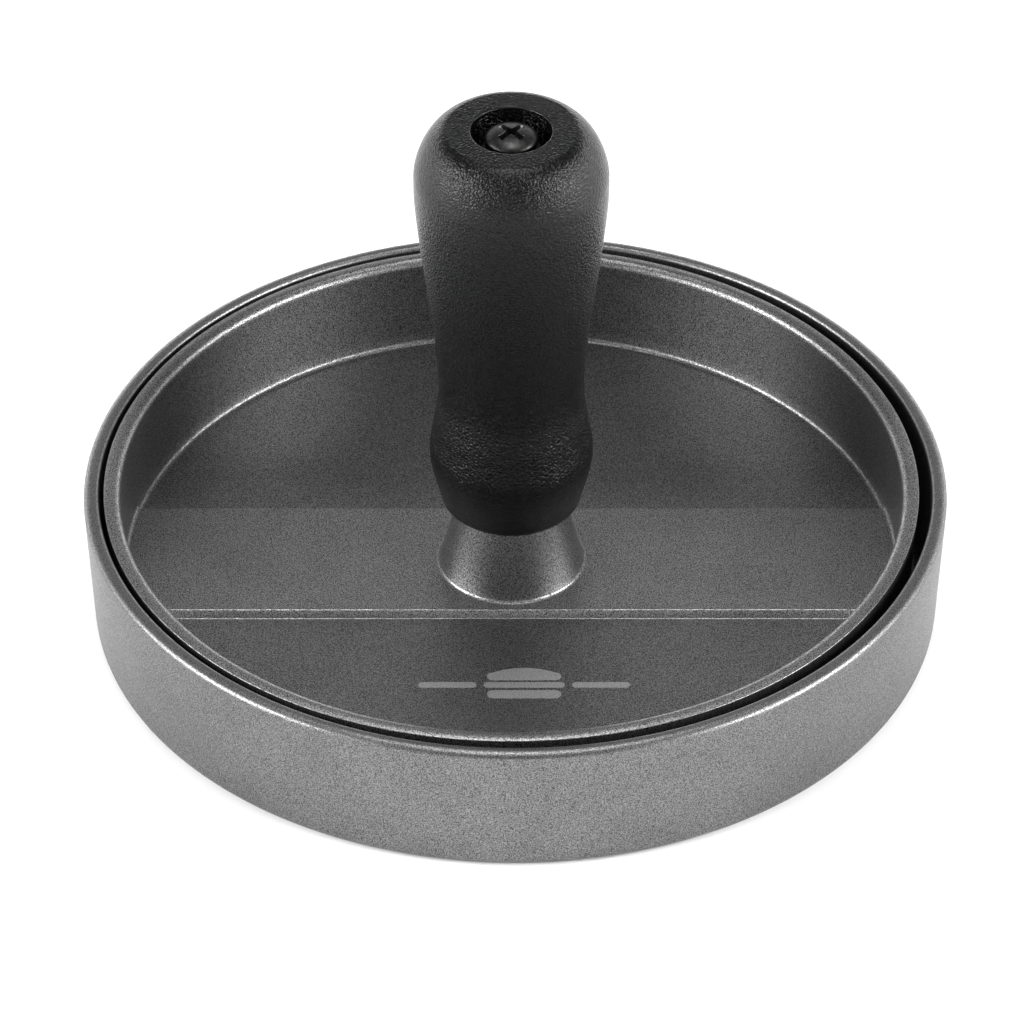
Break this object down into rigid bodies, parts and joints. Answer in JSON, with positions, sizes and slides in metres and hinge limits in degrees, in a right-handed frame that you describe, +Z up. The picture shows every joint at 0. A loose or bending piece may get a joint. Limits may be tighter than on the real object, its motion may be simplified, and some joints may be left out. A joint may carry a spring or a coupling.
{
  "type": "patty press",
  "caption": "Round cast patty press: shallow mould dish with a dished press plate that drops into it, raised by a turned handle screwed to the plate's central boss.",
  "frame": {"origin": "centre of the mould dish's underside, on the surface that the press stands on", "axes": "+Z up, along the press plate's lift and the handle; +X along the raised strip across the plate; +Y across it, away from the front"},
  "size_m": [0.1296, 0.1296, 0.0854],
  "materials": {
    "mould_coating": "speckled charcoal non-stick coating on cast aluminium, satin",
    "plate_coating": "speckled charcoal non-stick coating on cast aluminium, satin",
    "handle_phenolic": "black phenolic with a fine moulded leather grain, satin",
    "fastener_steel": "dark plated steel, semi-gloss"
  },
  "bodies": {
    "mould": {"mould_dish": "mould_coating"},
    "press": {"press_plate": "plate_coating", "handle": "handle_phenolic", "screw_washer": "fastener_steel", "handle_screw": "fastener_steel"}
  },
  "joints": [
    {"name": "press_lift", "type": "slide", "parent": "mould", "child": "press", "axis": [0, 0, 1], "range_m": [0, 0.06]}
  ]
}
